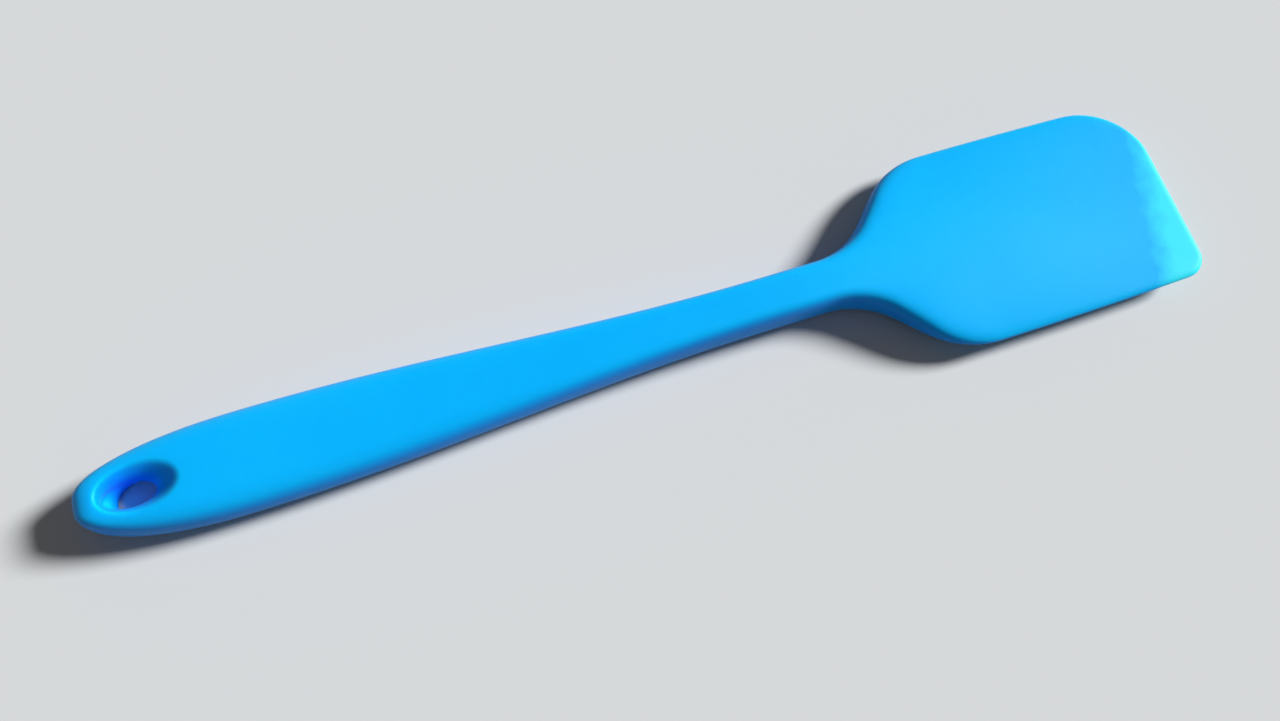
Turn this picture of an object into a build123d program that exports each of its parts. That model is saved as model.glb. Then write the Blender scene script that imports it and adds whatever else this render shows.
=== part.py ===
from build123d import *
from build123d.topology import SkipClean
from math import cos, pi, radians, sin, sqrt, tan
import os

os.makedirs("parts", exist_ok=True)

# Plan sizes of the spatula in mm, measured from the tail end
overall_length = 280.0
handle_width = 25.0
neck_width = 12.7
blade_width = 53.3
blade_tip_width = 50.8
tail_length = 40.0
neck_start = 170.0
shoulder_start = 184.0
shoulder_root_radius = 21.0
shoulder_corner_radius = 22.0
shoulder_angle = 47.0
scraping_corner_radius = 17.0
square_corner_radius = 5.5
tail_end_flat = 1.2
tail_fullness_share = 2.25

# Thicknesses
handle_thickness = 12.0
handle_fullness_share = 5.5
blade_fullness_share = 28.0
rest_land_depth = 0.06
blade_edge_thickness = 2.2
tip_thickness = 2.0
tip_flat_thickness = 0.9
tip_bevel_length = 0.7
tail_round_length = 9.0
tail_end_fullness_share = 3.0
thinning_start = 172.0
edge_thinning_end = 226.0

# Hanging hole, a scooped oval that meets at mid thickness
hole_centre = 12.1
hole_length = 13.0
hole_width = 6.4
hole_land = 1.0
scoop_centre = 16.2
scoop_length = 18.4
scoop_width = 10.6
lip_depth = 0.7
lip_flare = 0.7

# Stiffener inside the silicone
core_start = 31.0
core_end = 238.0
core_wall = 3.4
core_neck_wall = 2.6
core_thickness = 5.2
core_paddle_thickness = 1.6
core_thinning_start = 186.0
core_thinning_end = 214.0
core_paddle_width = 30.0
core_corner_cut = 4.0
window_width_share = 0.42
window_length = 15.0
window_pitch = 24.0
window_count = 4
window_start = 52.0
lock_slot_length = 8.0
lock_slot_width = 5.0
lock_slot_pitch = 9.5
lock_slot_centre = 225.0
lock_slot_count = 3

# How closely the skin follows its net of points, and where it is cut
tail_cut_shares = (0.125, 0.3, 0.6, 1)
skin_tolerance = 0.01
tail_row_count = 14
handle_row_count = 24
shoulder_row_count = 36
shoulder_row_share = 0.6
blade_row_count = 4
corner_row_count = 8
side_point_count = 22
core_station_count = 9

neck_half = neck_width / 2
handle_half = handle_width / 2
blade_half = blade_width / 2
handle_half_thickness = handle_thickness / 2
slope = tan(radians(shoulder_angle))
turn_rise_share = 1 - cos(radians(shoulder_angle))
turn_run_share = sin(radians(shoulder_angle))
root_end = shoulder_start + shoulder_root_radius * turn_run_share
turns_rise = (shoulder_root_radius + shoulder_corner_radius) * turn_rise_share
corner_start = root_end + (blade_half - neck_half - turns_rise) / slope
shoulder_end = corner_start + shoulder_corner_radius * turn_run_share
corner_row_start = overall_length - scraping_corner_radius
blade_row_start = neck_start + (corner_row_start - neck_start) * shoulder_row_share
handle_cut = (tail_length + neck_start) / 2
cuts = [tail_length * share for share in tail_cut_shares]
cuts += [handle_cut, thinning_start, root_end, blade_row_start, corner_row_start]


def ease(u, start, end):
    """Fall smoothly from one at the start to zero at the end."""
    share = min(max((u - start) / (end - start), 0), 1)
    return (1 + cos(pi * share)) / 2


def wedge(u, start, end):
    """Fall from one to zero, quickly at first and gently towards the end."""
    share = min(max((u - start) / (end - start), 0), 1)
    return (1 - share) ** 2 * (1 + 2 * share)


def rounding(distance, length, fullness_share):
    """Share of the full size reached at a distance in from a rounded end."""
    left = 1 - min(distance / length, 1)
    return (1 - left ** fullness_share) ** (1 / fullness_share)


def half_width(u):
    """Half the plan width, before the two blade corners are cut."""
    if u < tail_length:
        end = tail_end_flat / 2
        return end + (handle_half - end) * rounding(u, tail_length, tail_fullness_share)
    if u < shoulder_start:
        return neck_half + (handle_half - neck_half) * ease(u, tail_length, neck_start)
    if u < root_end:
        run = u - shoulder_start
        return neck_half + shoulder_root_radius - sqrt(shoulder_root_radius ** 2 - run ** 2)
    if u < corner_start:
        return neck_half + shoulder_root_radius * turn_rise_share + (u - root_end) * slope
    if u < shoulder_end:
        run = shoulder_end - u
        return blade_half - shoulder_corner_radius + sqrt(shoulder_corner_radius ** 2 - run ** 2)
    bow_share = ((u - shoulder_end) / (overall_length - shoulder_end)) ** 2
    return blade_half - bow_share * (blade_width - blade_tip_width) / 2


def corner_cut(u, radius):
    """How far a rounded blade corner has come in from the side."""
    run = max(u - (overall_length - radius), 0)
    return radius - sqrt(max(radius ** 2 - run ** 2, 0))


def half_thickness(u):
    """Half the thickness on the centre line, tip and tail rounding left out."""
    thin = tip_thickness / 2
    full = handle_half_thickness + rest_land_depth
    return thin + (full - thin) * wedge(u, thinning_start, overall_length)


def skin_row(u):
    """One row of the upper skin, from the left outline over the crown to the right."""
    left = half_width(u) - corner_cut(u, scraping_corner_radius)
    right = half_width(u) - corner_cut(u, square_corner_radius)
    peak = half_thickness(u)
    thickening_share = ease(u, shoulder_start, edge_thinning_end)
    blade_edge = min(blade_edge_thickness / 2, peak)
    edge = blade_edge + (peak - blade_edge) * thickening_share
    fullness = blade_fullness_share * (
        handle_fullness_share / blade_fullness_share
    ) ** thickening_share
    end_share = rounding(u, tail_round_length, tail_end_fullness_share)
    row = []
    for i in range(-side_point_count, side_point_count + 1):
        across = sin(pi / 2 * i / side_point_count)
        z = (edge + (peak - edge) * (1 - across ** 2)) * sqrt(1 - abs(across) ** fullness)
        row.append((u, (left - right) / 2 + across * (left + right) / 2, z * end_share))
    return row


def spread(start, end, count):
    """Evenly spaced places from the start, the end left out."""
    return [start + (end - start) * i / count for i in range(count)]


def scoop_oval(height, flare):
    """One oval of the scoop, growing evenly from the hole to the rim."""
    share = (height - hole_land / 2) / (handle_half_thickness - hole_land / 2)
    centre = hole_centre + (scoop_centre - hole_centre) * share
    length = hole_length + (scoop_length - hole_length) * share + flare * 2
    width = hole_width + (scoop_width - hole_width) * share + flare * 2
    return Pos(centre, 0, height) * Ellipse(length / 2, width / 2)


def core_half_width(u):
    """Half the width of the stiffener: spine, neck bar and paddle."""
    widening_share = 1 - ease(u, core_thinning_start, core_thinning_end)
    wall = core_neck_wall + (core_wall - core_neck_wall) * ease(u, tail_length, neck_start)
    spine = half_width(min(u, shoulder_start)) - wall
    return spine + (core_paddle_width / 2 - spine) * widening_share


# Upper skin through a net of rows, cut at places where its shape changes
rows = [tail_length * (1 - cos(pi / 2 * i / tail_row_count)) for i in range(tail_row_count)]
rows += spread(tail_length, neck_start, handle_row_count)
rows += spread(neck_start, blade_row_start, shoulder_row_count)
rows += spread(blade_row_start, corner_row_start, blade_row_count)
rows += [
    corner_row_start + scraping_corner_radius * sin(pi / 2 * i / corner_row_count)
    for i in range(corner_row_count + 1)
]
skins = [Face.make_surface_from_array_of_points([skin_row(u) for u in rows], tol=skin_tolerance)]
for cut in sorted(cuts):
    skins += split(skins.pop(), bisect_by=Plane.YZ.offset(cut), keep=Keep.BOTH).faces().sort_by(Axis.X)

# Closed at mid thickness by its mirror image, and across the tip by a flat end
tip_line = skins[-1].edges().sort_by(Axis.X)[-1]
tip_end = Face(Wire([tip_line, tip_line.mirror(Plane.XY)]))
body = Solid(Shell(skins + [skin.mirror(Plane.XY) for skin in skins] + [tip_end]))

# Flat lands along the handle to rest on, and a bevel on both sides of the scraping tip
bevel_share = (handle_thickness - tip_flat_thickness) / (tip_thickness - tip_flat_thickness)
trim_points = [
    (-overall_length, handle_half_thickness),
    (overall_length - tip_bevel_length * bevel_share, handle_half_thickness),
    (overall_length, tip_flat_thickness / 2),
]
trim = Polyline(*trim_points, *[(x, -z) for x, z in reversed(trim_points)], close=True)
with SkipClean():
    body = body & extrude(Plane.XZ * make_face(trim), blade_width, both=True)

# Hanging hole, scooped from both faces down to a small land, with a flared lip
top = handle_half_thickness
scoop_ovals = [scoop_oval(hole_land / 2, 0), scoop_oval(top - lip_depth, 0)]
scoop = loft(scoop_ovals + [scoop_oval(top + lip_depth, lip_flare)])
hole = scoop + mirror(scoop, about=Plane.XY) + extrude(scoop_oval(hole_land / 2, 0), -hole_land)

# Stiffener: plan outline cut by a side profile, then windows and lock slots
spine_stations = spread(core_start, core_thinning_start, core_station_count)
paddle_stations = spread(core_thinning_start, core_thinning_end, core_station_count)
stations = spine_stations + paddle_stations + [core_thinning_end, core_end - core_corner_cut]
side = [(core_start, core_half_width(core_start) - core_corner_cut)]
side += [(max(u, core_start + core_corner_cut), core_half_width(u)) for u in stations]
side += [(core_end, core_half_width(core_end) - core_corner_cut)]
outline = Polyline(*side, *[(u, -y) for u, y in reversed(side)], close=True)
core = extrude(make_face(outline), core_thickness / 2, both=True)
profile_points = [
    (core_start, core_thickness / 2),
    (core_thinning_start, core_thickness / 2),
    (core_thinning_end, core_paddle_thickness / 2),
    (core_end, core_paddle_thickness / 2),
]
profile = Polyline(*profile_points, *[(x, -z) for x, z in reversed(profile_points)], close=True)
core = core & extrude(Plane.XZ * make_face(profile), core_paddle_width, both=True)
for i in range(window_count):
    place = window_start + window_pitch * i
    window = Rectangle(window_length, core_half_width(place) * 2 * window_width_share)
    core -= extrude(Pos(place, 0, 0) * window, core_thickness, both=True)
lock_slot = extrude(Rectangle(lock_slot_length, lock_slot_width), core_thickness, both=True)
for i in range(lock_slot_count):
    y = lock_slot_pitch * (i - (lock_slot_count - 1) / 2)
    core -= Pos(lock_slot_centre, y, 0) * lock_slot

# Silicone moulded round the stiffener, both set down on the table plane
to_table = Pos(-overall_length / 2, 0, handle_half_thickness)
with SkipClean():
    silicone = to_table * (body - hole - core)
stiffener = to_table * core
silicone.label = "silicone_overmould"
stiffener.label = "nylon_core"
export_step(silicone, "parts/silicone_overmould.step")
export_step(stiffener, "parts/nylon_core.step")
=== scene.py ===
# %% [markdown]
# # A silicone spatula, dressed for its photograph
# The CAD model is the frame: one silicone moulding round a hidden nylon stiffener.
# Loading it puts both parts in the scene in metres, where the CAD has them.
# The silicone's box is read too, and its length along X is the spatula's length.

# %% Load the frame
from math import atan2, copysign, cos, degrees, pi, radians, sin, sqrt, tan

import bpy
from mathutils import Matrix, Vector


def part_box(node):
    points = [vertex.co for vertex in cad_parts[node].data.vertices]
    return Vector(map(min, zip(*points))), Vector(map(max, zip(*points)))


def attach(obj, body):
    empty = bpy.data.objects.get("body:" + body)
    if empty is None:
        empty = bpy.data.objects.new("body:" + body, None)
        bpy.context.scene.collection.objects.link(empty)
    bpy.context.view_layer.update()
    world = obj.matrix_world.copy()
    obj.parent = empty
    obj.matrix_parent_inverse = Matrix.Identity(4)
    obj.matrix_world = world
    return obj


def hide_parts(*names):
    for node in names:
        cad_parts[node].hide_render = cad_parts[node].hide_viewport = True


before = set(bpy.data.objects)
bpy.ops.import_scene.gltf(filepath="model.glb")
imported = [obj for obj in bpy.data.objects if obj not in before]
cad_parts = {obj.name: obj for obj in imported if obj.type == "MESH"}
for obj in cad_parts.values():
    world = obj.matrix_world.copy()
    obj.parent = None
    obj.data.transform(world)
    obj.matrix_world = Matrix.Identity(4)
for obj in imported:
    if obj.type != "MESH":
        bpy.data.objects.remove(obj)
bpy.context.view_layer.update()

MM = 0.001
silicone_low, silicone_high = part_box("silicone_overmould")
length = (silicone_high.x - silicone_low.x) / MM
print("silicone runs", round(length, 2), "mm along X")

# %% [markdown]
# ## The outline
# Seen from above, the real spatula has one flowing outline: a pebble-shaped tail, a handle that
# narrows to a slim neck, two shoulders and a blade that narrows a little to its tip.
# It could be traced as a curve, but a curve gives no even net of faces to shade.
# Here the outline is a rule instead: how wide the spatula is at a place `u` mm from the tail end.

# %% Sizes of the outline in mm
handle_half, neck_half, blade_half = 12.5, 6.35, 26.65
tail_length, tail_end_half, tail_plan_fullness = 40.0, 0.6, 2.25
neck_start, shoulder_start = 170.0, 184.0
root_radius, corner_radius = 21.0, 22.0
shoulder_angle = radians(47.0)
tip_narrowing = 1.25
broad_corner, tight_corner = 17.0, 5.5

shoulder_slope = tan(shoulder_angle)
turn_rise, turn_run = 1 - cos(shoulder_angle), sin(shoulder_angle)
root_end = shoulder_start + root_radius * turn_run
turns_rise = (root_radius + corner_radius) * turn_rise
corner_start = root_end + (blade_half - neck_half - turns_rise) / shoulder_slope
shoulder_end = corner_start + corner_radius * turn_run
print("shoulders run from", shoulder_start, "to", round(shoulder_end, 1), "mm")


# %% Rule of the outline
def ease(u, start, end):
    """Fall smoothly from one at the start to zero at the end."""
    share = min(max((u - start) / (end - start), 0), 1)
    return (1 + cos(pi * share)) / 2


def rounding(distance, span, fullness):
    """Share of the full size at a distance in from a rounded end, round as a circle at 2."""
    left = 1 - min(max(distance, 0) / span, 1)
    return (1 - left ** fullness) ** (1 / fullness)


def half_width(u):
    """Half the width of the spatula, before the blade's corners are cut."""
    if u < tail_length:
        full = rounding(u, tail_length, tail_plan_fullness)
        return tail_end_half + (handle_half - tail_end_half) * full
    if u < shoulder_start:
        return neck_half + (handle_half - neck_half) * ease(u, tail_length, neck_start)
    if u < root_end:
        return neck_half + root_radius - sqrt(root_radius ** 2 - (u - shoulder_start) ** 2)
    if u < corner_start:
        return neck_half + root_radius * turn_rise + (u - root_end) * shoulder_slope
    if u < shoulder_end:
        return blade_half - corner_radius + sqrt(corner_radius ** 2 - (shoulder_end - u) ** 2)
    return blade_half - tip_narrowing * ((u - shoulder_end) / (length - shoulder_end)) ** 2


def corner_cut(u, radius):
    """How far a rounded blade corner has come in from the side."""
    run = max(u - (length - radius), 0)
    return radius - sqrt(max(radius ** 2 - run ** 2, 0))


print("neck", 2 * neck_half, "mm, blade", 2 * blade_half, "mm wide")

# %% [markdown]
# ## The thickness
# The handle is a plump 12 mm with soft flat faces, and the blade thins to a flexible 2 mm lip.
# The thickening could stop at the neck in a step, but the photograph shows it running up on to the
# blade like a ramp, while the blade's sides stay thin.
# One section rule does both: a flat-topped oval whose corners get tighter as it nears the blade.

# %% Rule of the thickness
handle_half_thickness, land_depth = 6.0, 0.06
blade_edge_half, tip_half = 1.1, 1.0
handle_fullness, blade_fullness = 5.5, 28.0
thinning_start, edge_thinning_end = 172.0, 226.0
tail_round, tail_side_fullness = 9.0, 3.0
tip_round, circle = 1.1, 2


def section(u):
    """Half thickness at the crown and at the edge, and how square the section's corners are."""
    share = min(max((u - thinning_start) / (length - thinning_start), 0), 1)
    falling = (1 - share) ** 2 * (1 + 2 * share)
    peak = tip_half + (handle_half_thickness + land_depth - tip_half) * falling
    thick = ease(u, shoulder_start, edge_thinning_end)
    edge = min(blade_edge_half, peak)
    edge += (peak - edge) * thick
    end = rounding(u, tail_round, tail_side_fullness) * rounding(length - u, tip_round, circle)
    return peak * end, edge * end, blade_fullness * (handle_fullness / blade_fullness) ** thick


def skin_height(u, across):
    """Height over mid thickness, where `across` runs from -1 on the right edge to 1 on the left."""
    peak, edge, fullness = section(u)
    side = min(abs(across), 1)
    height = (edge + (peak - edge) * (1 - side ** 2)) * sqrt(1 - side ** fullness)
    return min(height, handle_half_thickness)


print("handle is", round(2 * skin_height(neck_start, 0), 1), "mm thick where the neck starts")

# %% [markdown]
# ## Rows over the handle, neck and blade
# The skin from just behind the hanging hole to the tip is a net of rows, each running over the top
# from one edge to the other. The columns crowd towards the edges, where the skin turns down.
# Where the two halves of the mould meet, the real silicone has a hair-fine raised line along its
# edge. A thin bead could be added for it, but it would never join the skin. So the net's outer
# column stands 0.09 mm proud, and the next one is close beside it.

# %% Columns across one row
SIDE = 20
join, seam_proud, seam_foot, seam_gap = 32.0, 0.09, 0.16, 0.03
tiny = 0.001


def columns(u):
    """Places across one row, with a close pair at each edge for the raised seam."""
    inner = [sin(pi / 2 * i / SIDE) for i in range(1 - SIDE, SIDE)]
    peak, edge, fullness = section(u)
    last = sqrt(1 - inner[-1] ** fullness)
    foot = (1 - min(seam_foot / max(edge, tiny), last / 2) ** 2) ** (1 / fullness)
    return [-1, -foot] + inner + [foot, 1]


print(len(columns(join)), "points across a row")

# %% Net of the upper skin
HANDLE_ROWS, NECK_ROWS, BLADE_ROWS, CORNER_ROWS = 45, 40, 14, 16
neck_row_start, blade_row_start, corner_row_start = 168.0, 228.0, length - broad_corner


def spread(start, end, count):
    """Evenly spaced places from the start, with the end left out."""
    return [start + (end - start) * i / count for i in range(count)]


def skin_row(u):
    """One row of the upper skin, from the right edge over the crown to the left edge."""
    left = half_width(u) - corner_cut(u, broad_corner) - seam_gap
    right = half_width(u) - corner_cut(u, tight_corner) - seam_gap
    near_tip = rounding(u - corner_row_start, broad_corner, circle)
    row = []
    for across in columns(u):
        height = skin_height(u, across)
        pull = seam_proud if height > 0 else 0
        y = (left - right) / 2 + across * ((left + right) / 2 - pull)
        row.append((u - (seam_gap + pull) * near_tip, y, height))
    return row


rows = spread(join, neck_row_start, HANDLE_ROWS)
rows += spread(neck_row_start, blade_row_start, NECK_ROWS)
rows += spread(blade_row_start, corner_row_start, BLADE_ROWS)
for i in range(CORNER_ROWS + 1):
    rows.append(corner_row_start + broad_corner * sin(pi / 2 * i / CORNER_ROWS))
skin = [skin_row(u) for u in rows]
print(len(skin), "rows of", len(skin[0]), "points")

# %% [markdown]
# ## The hanging hole
# The real hole is an oval, dished out from both faces with a thumb-sized scoop and a soft lip.
# A boolean cut would leave long thin faces that shade badly on soft rubber.
# Instead the tail's faces are laid in rings round the hole, like ripples: down the land in the
# middle, up the scoop, over the lip and out across the skin to the edge.

# %% Wall of the scoop
hole_centre, hole_half_length, hole_half_width, land_half = 12.1, 6.5, 3.2, 0.5
scoop_centre, scoop_half_length, scoop_half_width = 16.2, 9.2, 5.3
lip_start, lip_end, lip_flare = 5.3, 6.7, 0.7


def oval_point(height, turn):
    """A point on the scoop's wall, at a height over mid thickness and a turn round the hole."""
    share = (height - land_half) / (handle_half_thickness - land_half)
    flare = (height - land_half) * (height - lip_start)
    flare *= lip_flare / ((lip_end - land_half) * (lip_end - lip_start))
    centre = hole_centre + (scoop_centre - hole_centre) * share
    ahead = hole_half_length + (scoop_half_length - hole_half_length) * share + flare
    aside = hole_half_width + (scoop_half_width - hole_half_width) * share + flare
    return centre + ahead * cos(turn), aside * sin(turn)


print("hole starts", round(oval_point(land_half, pi)[0], 1), "mm from the tail end")

# %% Rings from the land over the lip
lowest_rim, lip_round, lip_spread = 2.0, 0.7, 1.6
land_ring_share, WALL_RINGS, LIP_RINGS, HALVINGS = 0.6, 7, 4, 40


def height_at(u, y):
    """Height of the skin at a place in the tail, where the outline is the same on both sides."""
    return skin_height(u, y / half_width(max(u, tiny)))


def halve(low, high, too_low):
    """Close in on the place where a test turns from true to false."""
    for _ in range(HALVINGS):
        middle = (low + high) / 2
        low, high = (middle, high) if too_low(middle) else (low, middle)
    return low


def scoop_wall(turn):
    """Points up the scoop on one turn: land, wall and rounded lip, ending out on the skin."""
    rim = halve(lowest_rim, lip_end, lambda z: z < height_at(*oval_point(z, turn)))
    points = [(*oval_point(land_half, turn), z) for z in (0, land_half * land_ring_share)]
    for z in spread(land_half, rim - lip_round, WALL_RINGS) + [rim - lip_round]:
        points.append((*oval_point(z, turn), z))
    corner = Vector((*oval_point(rim, turn), rim))
    lean = Vector((corner.x - scoop_centre, corner.y * lip_spread)).normalized() * lip_round
    skin_end = Vector((corner.x + lean.x, corner.y + lean.y, 0))
    skin_end.z = height_at(skin_end.x, skin_end.y)
    wall_end = Vector(points[-1])
    for i in range(1, LIP_RINGS + 1):
        t = i / LIP_RINGS
        points.append(tuple(wall_end * (1 - t) ** 2 + corner * 2 * t * (1 - t) + skin_end * t * t))
    return points


print("lip ends", round(scoop_wall(pi / 2)[-1][2], 2), "mm over mid thickness at its side")

# %% [markdown]
# ## The tail
# The real tail runs into the handle without a mark, so the two nets have to join without one.
# The rings go on from the lip to the edge of the tail, along spokes. A spoke could end anywhere,
# but a loose end beside the handle would show as a crease. So each one ends on a point of the
# tail's edge or of the handle's first row, and both nets share those points.
# Towards the edge the rings crowd together, as the columns do, to turn the corner smoothly.

# %% Edge that the spokes run to
TAIL = 30
tail_side = [join * (1 - cos(pi / 2 * i / TAIL)) for i in range(1, TAIL)]
edge_end = seam_gap + tail_end_half
left_edge = [(u + seam_gap * (1 - u / join), half_width(u) - seam_gap, 0) for u in tail_side]
end_edge = [(seam_gap, y, 0) for y in (edge_end, 0, -edge_end)]
right_edge = [(u, -y, z) for u, y, z in left_edge]
outer = skin[0] + left_edge[::-1] + end_edge + right_edge

outline = [(join, across * half_width(join)) for across in columns(join)]
outline += [(u, half_width(u)) for u in tail_side[::-1]]
outline += [(0, y) for y in (tail_end_half, 0, -tail_end_half)]
outline += [(u, -half_width(u)) for u in tail_side]
print(len(outer), "points round the tail")

# %% Spokes of the tail
RINGS, even_power, halfway = 15, 4, 0.5


def outward(u, y):
    """Direction straight out of the outline at one of its points."""
    slope = (half_width(u + tiny) - half_width(u)) / tiny
    return Vector((-slope, copysign(1, y))).normalized()


def spoke(number):
    """Points from the land in the hole out to one point of the outer ring."""
    u, y, z = outer[number]
    turn = atan2(y / scoop_half_width, (u - scoop_centre) / scoop_half_length)
    points = scoop_wall(turn)
    start = Vector(points[-1][:2])
    run = Vector(outline[number]) - start
    even = 1 - abs(y / half_width(join)) ** even_power if number < len(skin[0]) else 0
    inward = Vector((u, y)) - Vector(outline[number])
    if z == 0:
        inward -= outward(*outline[number]) * seam_proud
    foot = halve(halfway, 1, lambda s: height_at(*(start + run * s)) > seam_foot)
    for i in range(1, RINGS + 1):
        crowded = foot if i == RINGS else sin(pi / 2 * i / RINGS) * (1 - (1 - foot) * i / RINGS)
        share = even * i / (RINGS + 1) + (1 - even) * crowded
        place = start + run * share
        points.append((*(place + inward * share), height_at(*place)))
    return points + [(u, y, z)]


spokes = [spoke(number) for number in range(len(outer))]
print(len(spokes), "spokes of", len(spokes[0]), "points")

# %% [markdown]
# ## One closed skin
# The real spatula is one moulding with no join but its seam. Two halves could be modelled and
# welded, but the mould's halves are alike, so the lower one is the upper one mirrored.
# Points on the seam have no height, so both halves share them and the skin closes by itself.
# A subdivision surface then rounds the net into rubber without losing its sizes.

# %% Faces of the skin
points, faces, known = [], [], {}
SAME_DIGITS = 5


def point_number(u, y, z):
    """Number of a point of the mesh, made only the first time it is asked for."""
    key = (round(u, SAME_DIGITS), round(y, SAME_DIGITS), round(z, SAME_DIGITS))
    if key not in known:
        known[key] = len(points)
        points.append(((u - length / 2) * MM, y * MM, (z + handle_half_thickness) * MM))
    return known[key]


def add_net(net, closed):
    """Faces between neighbouring lines of a net, above and mirrored below."""
    for first, second in zip(net, net[1:] + net[:1] if closed else net[1:]):
        for a, b, c, d in zip(first, first[1:], second[1:], second):
            upper = [point_number(*p) for p in (a, b, c, d)]
            lower = [point_number(p[0], p[1], -p[2]) for p in (d, c, b, a)]
            faces.extend((upper, lower))


add_net(spokes, True)
add_net(skin[::-1], False)
print("skin has", len(points), "points and", len(faces), "faces")

# %% Silicone moulding
mesh = bpy.data.meshes.new("silicone_skin")
mesh.from_pydata(points, [], faces)
mesh.validate()
mesh.shade_smooth()
silicone = bpy.data.objects.new("silicone_skin", mesh)
bpy.context.scene.collection.objects.link(silicone)
rounder = silicone.modifiers.new("round_the_net", "SUBSURF")
rounder.levels = rounder.render_levels = 1
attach(silicone, "root")
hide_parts("silicone_overmould")
print(silicone.name, "is", [round(side / MM, 1) for side in silicone.dimensions], "mm")

# %% [markdown]
# ## Sky blue
# The real silicone is dyed through in one sky blue, which looks a little uneven here and there.
# A picture could give that, but it would need an unwrapped skin. Noise in the object's own space
# needs none, and it stays put on the rubber. It blends two near blues in clouds a few centimetres
# wide.

# %% A finish and its clouds
sky_blue, light_sky_blue = (0.0, 0.455, 0.98), (0.001, 0.475, 1.0)


def new_finish(name):
    """A material with its node tree, shader and object coordinates."""
    material = bpy.data.materials.new(name)
    material.use_nodes = True
    tree = material.node_tree
    place = tree.nodes.new("ShaderNodeTexCoord")
    return material, tree, tree.nodes["Principled BSDF"], place.outputs["Object"]


def cloud(tree, place, scale, detail, stretch=(1, 1, 1)):
    """Soft noise, about `scale` clouds to the metre, drawn out along an axis by a small stretch."""
    mapping = tree.nodes.new("ShaderNodeMapping")
    mapping.inputs["Scale"].default_value = stretch
    noise = tree.nodes.new("ShaderNodeTexNoise")
    noise.inputs["Scale"].default_value = scale
    noise.inputs["Detail"].default_value = detail
    tree.links.new(place, mapping.inputs["Vector"])
    tree.links.new(mapping.outputs["Vector"], noise.inputs["Vector"])
    return noise.outputs["Fac"]


def reach(tree, value, low=0, high=1, to_low=0, to_high=1):
    """Turn one range of a value into another, each from zero to one unless it's given."""
    node = tree.nodes.new("ShaderNodeMapRange")
    numbers = {"From Min": low, "From Max": high, "To Min": to_low, "To Max": to_high}
    for name, number in numbers.items():
        node.inputs[name].default_value = number
    tree.links.new(value, node.inputs["Value"])
    return node.outputs["Result"]


def blend_colours(tree, factor, first, second):
    """Mix two colours, either of which may come from another node."""
    node = tree.nodes.new("ShaderNodeMix")
    node.data_type = "RGBA"
    tree.links.new(factor, node.inputs["Factor"])
    for socket, colour in (("A_Color", first), ("B_Color", second)):
        target = next(s for s in node.inputs if s.identifier == socket)
        if isinstance(colour, tuple):
            target.default_value = (*colour, 1)
        else:
            tree.links.new(colour, target)
    return next(s for s in node.outputs if s.identifier == "Result_Color")


finish, tree, shader, place = new_finish("satin_sky_blue_silicone")
tint = reach(tree, cloud(tree, place, scale=28, detail=3), low=0.35, high=0.65)
blue = blend_colours(tree, tint, sky_blue, light_sky_blue)
print("clouds of two blues, with", len(tree.nodes), "nodes")

# %% [markdown]
# ## Painted shade on the walls
# The spatula's side walls and the inside of its scoop are a deeper blue in the photograph than
# plain shade makes them. Stronger contrast in the light could do it, but would spoil the colour of
# the faces. So the deeper blue is painted shade: the colour itself deepens where the surface turns
# sideways, which is read from its direction in the object's own space and stays the same from
# every side.

# %% Painted shade on the walls
# Painted shade: the colour turns towards this deeper blue on walls that face sideways.
painted_shade_blue, painted_shade_strength = (0.0, 0.25, 1.0), 0.7
steep, nearly_level = 0.25, 0.82


def maths(tree, operation, *values):
    """One sum on one or two values."""
    node = tree.nodes.new("ShaderNodeMath")
    node.operation = operation
    for value, socket in zip(values, node.inputs):
        tree.links.new(value, socket)
    return node.outputs[0]


facing = tree.nodes.new("ShaderNodeSeparateXYZ")
tree.links.new(tree.nodes["Texture Coordinate"].outputs["Normal"], facing.inputs[0])
level = maths(tree, "ABSOLUTE", facing.outputs["Z"])
# Painted shade mask: strongest where the surface stands steep, none where it lies nearly level.
wall = reach(tree, level, steep, nearly_level, to_low=painted_shade_strength, to_high=0)
blue = blend_colours(tree, wall, blue, painted_shade_blue)
print("walls deepen by up to", painted_shade_strength)

# %% [markdown]
# ## Painted light: a bright band at the tip
# The last centimetre of the real blade is brighter and greener, as thin silicone is when light gets
# into it. Light could be passed through the blade, but the band would then change with every lamp.
# So it is painted light, a brighter colour that fades in along the blade. It slants as in the
# photograph, and noise makes its edge a little ragged.

# %% Painted light at the tip
# Painted light: the tip's band turns towards this paler, greener blue.
painted_tip_light, band_strength = (0.040, 0.80, 1.0), 0.9
band_start, band_end, band_slant, raggedness = 0.1315, 0.138, -0.28, 0.003

along = tree.nodes.new("ShaderNodeVectorMath")
along.operation = "DOT_PRODUCT"
along.inputs[1].default_value = (1, band_slant, 0)
tree.links.new(place, along.inputs[0])
frayed = cloud(tree, place, scale=260, detail=4)
ragged = reach(tree, frayed, to_low=-raggedness, to_high=raggedness)
along_blade = maths(tree, "ADD", along.outputs["Value"], ragged)
# The band of painted light fades in along the slanted, ragged line.
band = reach(tree, along_blade, band_start, band_end, to_high=band_strength)
blue = blend_colours(tree, band, blue, painted_tip_light)
print("band fades in over", round((band_end - band_start) / MM, 1), "mm")

# %% [markdown]
# ## Dust, scratches and grain
# Moulded silicone is satin: light spreads over it in wide soft patches and never mirrors. The fine
# grain of its mould, hair scratches from drawers and a breath of kitchen dust break up the sheen.
# They could be modelled, but they are far finer than the net. So they are noise in the colour, the
# roughness and a bump, and a scratch is noise that is drawn out along the handle.

# %% Wear on the silicone
dust_blue, dust_strength = (0.25, 0.66, 0.98), 0.07
smooth, rough, scuff_roughness = 0.38, 0.44, 0.05
grain_depth, scratch_depth = 0.00001, 0.000001
along_handle = (0.03, 1, 1)


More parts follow.
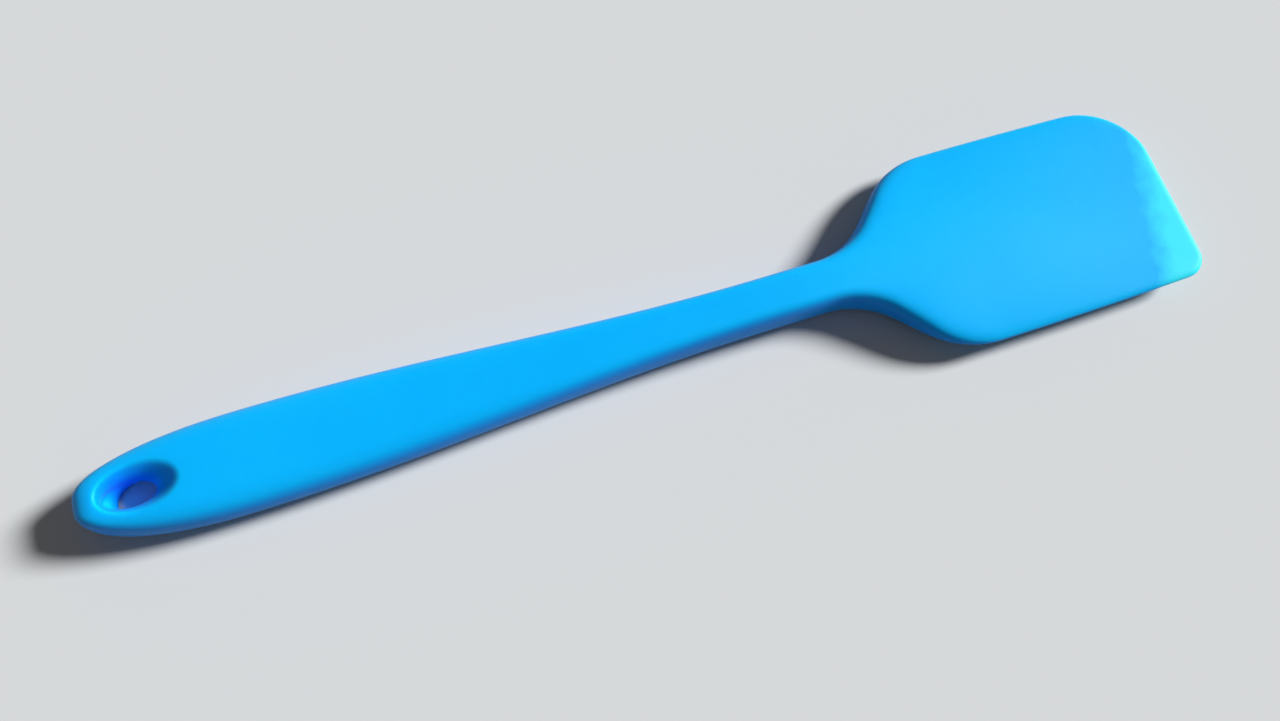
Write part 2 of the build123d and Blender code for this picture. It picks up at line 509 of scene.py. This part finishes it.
def bump(tree, heights, distance, normal=None):
    """Raise the surface by a height map, on top of another bump if there is one."""
    node = tree.nodes.new("ShaderNodeBump")
    node.inputs["Distance"].default_value = distance
    tree.links.new(heights, node.inputs["Height"])
    if normal:
        tree.links.new(normal, node.inputs["Normal"])
    return node.outputs["Normal"]


specks = cloud(tree, place, scale=1100, detail=4)
dust = reach(tree, specks, low=0.68, high=0.76, to_high=dust_strength)
tree.links.new(blend_colours(tree, dust, blue, dust_blue), shader.inputs["Base Color"])

hairs = cloud(tree, place, scale=1800, detail=2, stretch=along_handle)
scratches = reach(tree, hairs, low=0.66, high=0.72)
worn = cloud(tree, place, scale=60, detail=3)
patches = reach(tree, worn, low=0.3, high=0.7, to_low=smooth, to_high=rough)
scuffs = reach(tree, scratches, to_high=scuff_roughness)
tree.links.new(maths(tree, "ADD", patches, scuffs), shader.inputs["Roughness"])

grain = bump(tree, cloud(tree, place, scale=3200, detail=2), grain_depth)
tree.links.new(bump(tree, scratches, scratch_depth, grain), shader.inputs["Normal"])
print("wear brings the finish to", len(tree.nodes), "nodes")

# %% [markdown]
# ## Light in the silicone
# Silicone bends light a little less than glass and lets some of it wander about under its skin,
# which softens the shade on the thick handle. A plain matt paint would look like card.
# The shader's own subsurface does it, and blue wanders furthest.

# %% Numbers of the shader
silicone_numbers = {
    "IOR": 1.41,
    "Specular IOR Level": 0.15,
    "Sheen Weight": 0.02,
    "Sheen Roughness": 0.5,
    "Subsurface Weight": 0.4,
    "Subsurface Radius": (0.1, 0.6, 1.0),
    "Subsurface Scale": 0.005,
}
for socket, number in silicone_numbers.items():
    shader.inputs[socket].default_value = number
silicone.data.materials.append(finish)
print("silicone wears", finish.name)

# %% [markdown]
# ## Nylon stiffener
# The stiffener is sealed in the silicone and is seen only if the skin is lifted off. It could be
# modelled again, but the CAD's own solid already has its real shape, so it only gets a finish: dry
# off-white nylon with the cloudy flow marks that its glass fibres leave.

# %% Glass-filled nylon
dark_nylon, pale_nylon = (0.56, 0.55, 0.49), (0.66, 0.65, 0.59)
smooth, rough, grain_depth = 0.55, 0.7, 0.00002
along_spine = (0.2, 1, 1)

finish, tree, shader, place = new_finish("dry_glass_filled_nylon")
streaks = cloud(tree, place, scale=120, detail=5, stretch=along_spine)
flow = reach(tree, streaks, low=0.3, high=0.7)
tree.links.new(blend_colours(tree, flow, dark_nylon, pale_nylon), shader.inputs["Base Color"])
tree.links.new(reach(tree, flow, to_low=smooth, to_high=rough), shader.inputs["Roughness"])
grain = bump(tree, cloud(tree, place, scale=2400, detail=3), grain_depth)
tree.links.new(grain, shader.inputs["Normal"])
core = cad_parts["nylon_core"]
core.data.materials.clear()
core.data.materials.append(finish)
print("nylon finish on", core.name)

# %% [markdown]
# ## Floor
# A plain pale floor under the spatula takes its shadow. It could be a small square, but a low view
# would look past its edge, so it runs far out, where its end looks like a horizon.
# The eye sees a pale paint. Light that bounces off the floor sees a darker one, so that the floor
# doesn't brighten the spatula from below. The paint is fully matt, because any gloss would glare
# white where a low view looks towards the light.

# %% Pale floor
bounce_grey, seen_grey = (0.45, 0.45, 0.45), (0.70, 0.69, 0.68)
floor_reach = 30


def seen_rays(tree):
    """One for rays that the eye follows straight, off gloss or through glass, and else zero."""
    path = tree.nodes.new("ShaderNodeLightPath").outputs
    direct = maths(tree, "ADD", path["Is Camera Ray"], path["Is Glossy Ray"])
    return maths(tree, "ADD", direct, path["Is Transmission Ray"])


floor_mesh = bpy.data.meshes.new("pale_floor")
corners = [(x * floor_reach, y * floor_reach, 0) for x, y in ((-1, -1), (1, -1), (1, 1), (-1, 1))]
floor_mesh.from_pydata(corners, [], [(0, 1, 2, 3)])
floor = bpy.data.objects.new("pale_floor", floor_mesh)
bpy.context.scene.collection.objects.link(floor)
paint, tree, shader, place = new_finish("pale_floor_paint")
floor_colour = blend_colours(tree, seen_rays(tree), bounce_grey, seen_grey)
tree.links.new(floor_colour, shader.inputs["Base Color"])
shader.inputs["Roughness"].default_value = 1.0
shader.inputs["Specular IOR Level"].default_value = 0.0
floor_mesh.materials.append(paint)
print("floor is", 2 * floor_reach, "m wide")

# %% [markdown]
# ## World
# Behind the floor stands a pale world, as a studio's wall would. A bright wall would light the
# spatula from all sides and flatten it, so it is pale only for rays that the eye follows, and gives
# the rest a faint even fill.

# %% Pale studio
fill_strength, wall_brightness = 0.10, 0.85

world = bpy.data.worlds.new("pale_studio")
bpy.context.scene.world = world
world.use_nodes = True
background = world.node_tree.nodes["Background"]
seen = seen_rays(world.node_tree)
strength = reach(world.node_tree, seen, to_low=fill_strength, to_high=wall_brightness)
world.node_tree.links.new(strength, background.inputs["Strength"])
background.inputs["Color"].default_value = (0.97, 0.98, 1.0, 1)
print("world fills at", fill_strength)

# %% [markdown]
# ## Light
# The photograph's daylight comes low from the right, past the blade's tip. It leaves the walls
# that face left in shade, lays soft shadows to the left, and glances off the blade.
# A lamp beside the spatula could do that, but it would brighten the near end of the floor.
# A sun lamp is even everywhere, and one as wide as a window looks keeps the shadows soft.

# %% Daylight
window = bpy.data.lights.new("window", "SUN")
window.angle, window.energy, window.color = radians(14), 6.0, (0.93, 0.97, 1.0)
holder = bpy.data.objects.new("window", window)
bpy.context.scene.collection.objects.link(holder)
towards_light = Vector((0.985, 0.08, 0.55))
holder.rotation_euler = towards_light.to_track_quat("Z", "Y").to_euler()
height_angle = degrees(atan2(towards_light.z, towards_light.xy.length))
print("light stands", round(height_angle), "degrees up")

# %% [markdown]
# ## Camera
# The photograph looks down steeply from close above the handle, a little rolled. A camera could be
# turned by hand until it looks right, but its height and lens then hide each other's mistakes.
# These numbers come from fitting the CAD model's outline to the spatula's in the photograph.

# %% Camera of the photograph
image_width, sensor_width = 1280, 36
focal_px, elevation, roll = 970.84, radians(72.674), radians(1.499)
camera_height, shift_x, shift_y, heading = 232.3, 2.793, 76.361, radians(19.23)

turned_back = Matrix.Rotation(-heading, 3, "Z")
level_right, level_up = Vector((1, 0, 0)), Vector((0, sin(elevation), cos(elevation)))
right = turned_back @ (level_right * cos(roll) + level_up * sin(roll))
up = turned_back @ (level_up * cos(roll) - level_right * sin(roll))
eye = turned_back @ Vector((-shift_x, -shift_y, 0)) + Vector((0, 0, camera_height))
aim = Matrix((right, up, right.cross(up))).transposed().to_4x4()

camera_data = bpy.data.cameras.new("photo_camera")
camera_data.sensor_width = sensor_width
camera_data.lens = focal_px * sensor_width / image_width
camera_data.clip_start = 0.01
camera = bpy.data.objects.new("photo_camera", camera_data)
bpy.context.scene.collection.objects.link(camera)
camera.matrix_world = Matrix.Translation(eye * MM) @ aim
bpy.context.scene.camera = camera
bpy.context.scene.view_settings.view_transform = "Standard"
print("camera at", [round(v, 1) for v in eye], "mm, lens", round(camera_data.lens, 1), "mm")

# %% [markdown]
# ## Last update
# The scene is brought up to date at the end.

# %% Update the scene
bpy.context.view_layer.update()
